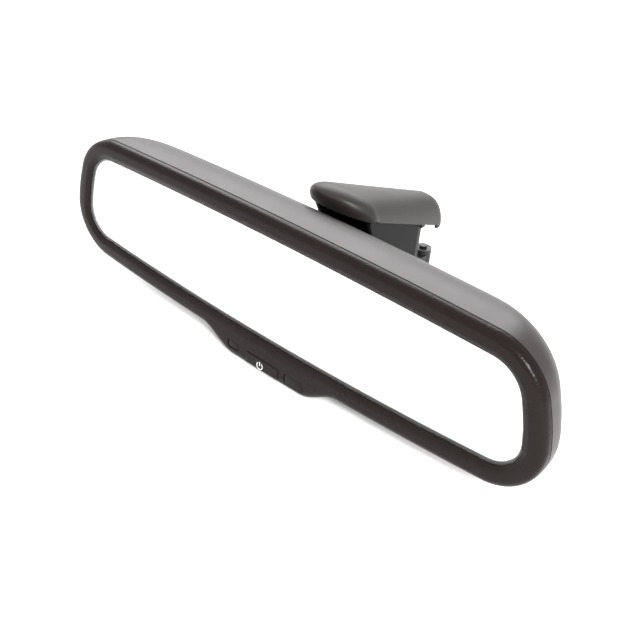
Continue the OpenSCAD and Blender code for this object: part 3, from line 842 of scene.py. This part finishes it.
class MIRROR_OT_covers(bpy.types.Operator):
    """Upper and lower covers of the stay"""
    bl_idname = "mirror.covers"
    bl_label = "Stay covers"

    def stations(self, near, far):
        """Depths of the cover's sections, closest together at the nose and at the crease."""
        nose = [near + NOSE * (i / 26) ** 2 for i in range(26)]
        start = near + NOSE
        return (nose + [start + (RIM_CREASE - start) * i / 36 for i in range(37)]
                + [RIM_CREASE + k for k in (0.09, 0.2, 0.6, 0.72, 1.6, 2.6)] + [far])

    def execute(self, context):
        s = sizes()
        near = COVER_NEAR + COVER_WALL
        outer = skin("upper_cover_shell", [arch(y, 0.0, COVER_NEAR, s)
                                           for y in self.stations(COVER_NEAR, COVER_FAR)])
        inner = skin("hollow", [arch(y, COVER_WALL, near, s, floor=4.0)
                                for y in self.stations(near, COVER_FAR + 3)])
        cut(outer, inner)
        teeth = []
        for side in (-1, 1):
            for y in TEETH:
                x = side * (cover_half(y, s) - 1.7 - (0.4 if y > RIM_CREASE else 0.0))
                z = cover_bottom(y)
                teeth.append(skin("tooth", box_rings((x - 0.7, y, z - 2.2),
                                                     (x + 0.7, y + 2.6, z + 1.2))))
        cut(outer, *teeth, operation="UNION")
        bevel(outer, 0.25, 50, 2)
        baked(outer)
        soft_shade(outer, 35)
        finish_piece(outer, material("cover"), "mount", "cover_plastic", "upper_cover")
        # the lower cover's finish carries painted shade from the upper cover
        dress("lower_cover", "lower", 0.5)
        dress("cover_screw", "oxide", 0.1)
        return {"FINISHED"}


class MIRROR_OT_stay(bpy.types.Operator):
    """Die-cast stay, ball stud, friction seats, socket and screws"""
    bl_idname = "mirror.stay"
    bl_label = "Stay and ball joint"

    def execute(self, context):
        for node, key, edge in (
                ("stay", "stay", 0.5), ("set_screw", "oxide", 0.1), ("ball_stud", "ball", 0),
                ("roll_liner", "grey_seat", 0), ("pan_liner", "natural", 0),
                ("ball_socket", "casting", 0), ("socket_screws", "steel", 0.1)):
            dress(node, key, edge)
        return {"FINISHED"}


# ---------------------------------------------------------------- stage


def area_light(name, location, target, size, power):
    data = bpy.data.lights.new(name, "AREA")
    data.shape, data.size, data.size_y = "RECTANGLE", size[0], size[1]
    data.energy = power
    obj = bpy.data.objects.new(name, data)
    obj.location = location
    obj.rotation_euler = (target - location).to_track_quat("-Z", "Y").to_euler()
    bpy.context.collection.objects.link(obj)
    return obj


class MIRROR_OT_stage(bpy.types.Operator):
    """Floor, lights and camera"""
    bl_idname = "mirror.stage"
    bl_label = "Stage"

    def execute(self, context):
        st = context.scene.mirror_stage
        low = CAD_BOX[0][2]
        mesh = bpy.data.meshes.new("floor")
        r = 4.0
        mesh.from_pydata([(-r, -r, low), (r, -r, low), (r, r, low), (-r, r, low)], [], [(0, 1, 2, 3)])
        floor = bpy.data.objects.new("floor", mesh)
        context.collection.objects.link(floor)
        paper, tree = new_material("Paper uncoated white")
        # uncoated paper: bright, fully matt, with a faint fibre mottle
        at = add_node(tree, "ShaderNodeTexCoord").outputs["Object"]
        fibre = add_node(tree, "ShaderNodeTexNoise", {"Scale": 1 / (4 * MM), "Detail": 4.0},
                         {"Vector": at})
        rough = add_node(tree, "ShaderNodeMapRange", {"To Min": 0.85, "To Max": 1.0},
                         {"Value": fibre.outputs["Fac"]})
        surface(tree, add_node(tree, "ShaderNodeBsdfPrincipled",
                               {"Base Color": st.floor, "Specular IOR Level": 0.1},
                               {"Roughness": rough.outputs["Result"]}))
        mesh.materials.append(paper)

        world = bpy.data.worlds.new("White room")
        context.scene.world = world
        world.use_nodes = True
        background = world.node_tree.nodes["Background"]
        background.inputs["Color"].default_value = (1, 1, 1, 1)
        background.inputs["Strength"].default_value = st.sky

        area_light("softbox", HEAD + Vector((-0.55, 0.78, 0.6)), HEAD, (1.1, 0.5), st.back_light)
        spot = HEAD + Vector((0.118, 0.0, 0.025))       # upper right corner of the bezel
        area_light("lamp", spot + Vector((0.6, -0.52, 0.6)) * 0.8, spot, (0.2, 0.2),
                   st.corner_light)

        az, el, roll = st.azimuth, st.elevation, st.roll
        right = Vector((math.cos(az), math.sin(az), 0))
        look = Vector((-math.sin(az) * math.cos(el), math.cos(az) * math.cos(el), -math.sin(el)))
        up = right.cross(look)
        right, up = (right * math.cos(roll) + up * math.sin(roll),
                     up * math.cos(roll) - right * math.sin(roll))
        camera = bpy.data.objects.new("camera", bpy.data.cameras.new("camera"))
        shift = Vector((-20.85 * MM, 11.61 * MM))       # sideways and upward offset of HEAD
        place = HEAD - look * st.distance - right * shift.x - up * shift.y
        camera.matrix_world = Matrix.Translation(place) @ Matrix(
            (right, up, -look)).transposed().to_4x4()
        camera.data.lens, camera.data.sensor_width = st.lens, 36.0
        camera.data.clip_start = 0.01
        context.collection.objects.link(camera)
        context.scene.camera = camera
        context.scene.view_settings.view_transform = "Standard"
        context.scene.view_settings.look = "None"
        return {"FINISHED"}


class MIRROR_PT_panel(bpy.types.Panel):
    """Lists the mirror's sizes, finishes and pieces"""
    bl_idname = "MIRROR_PT_panel"
    bl_label = "Rearview mirror"
    bl_space_type = "VIEW_3D"
    bl_region_type = "UI"
    bl_category = "Mirror"

    def draw(self, context):
        for group in (context.scene.mirror_sizes, context.scene.mirror_finishes,
                      context.scene.mirror_stage):
            column = self.layout.column(align=True)
            for key in type(group).__annotations__:
                column.prop(group, key)
        for operator in OPERATORS:
            self.layout.operator(operator.bl_idname)


OPERATORS = (MIRROR_OT_bezel, MIRROR_OT_housing, MIRROR_OT_glass, MIRROR_OT_controls,
             MIRROR_OT_electronics, MIRROR_OT_covers, MIRROR_OT_stay, MIRROR_OT_stage)
GROUPS = (("mirror_sizes", MirrorSizes), ("mirror_finishes", MirrorFinishes),
          ("mirror_stage", MirrorStage))


def register():
    for name, group in GROUPS:
        bpy.utils.register_class(group)
        setattr(bpy.types.Scene, name, bpy.props.PointerProperty(type=group))
    for cls in (*OPERATORS, MIRROR_PT_panel):
        bpy.utils.register_class(cls)


def unregister():
    for cls in (MIRROR_PT_panel, *reversed(OPERATORS)):
        bpy.utils.unregister_class(cls)
    for name, group in reversed(GROUPS):
        delattr(bpy.types.Scene, name)
        bpy.utils.unregister_class(group)


def main():
    register()
    for operator in OPERATORS:
        area, name = operator.bl_idname.split(".")
        getattr(getattr(bpy.ops, area), name)()


if __name__ == "__main__":
    main()
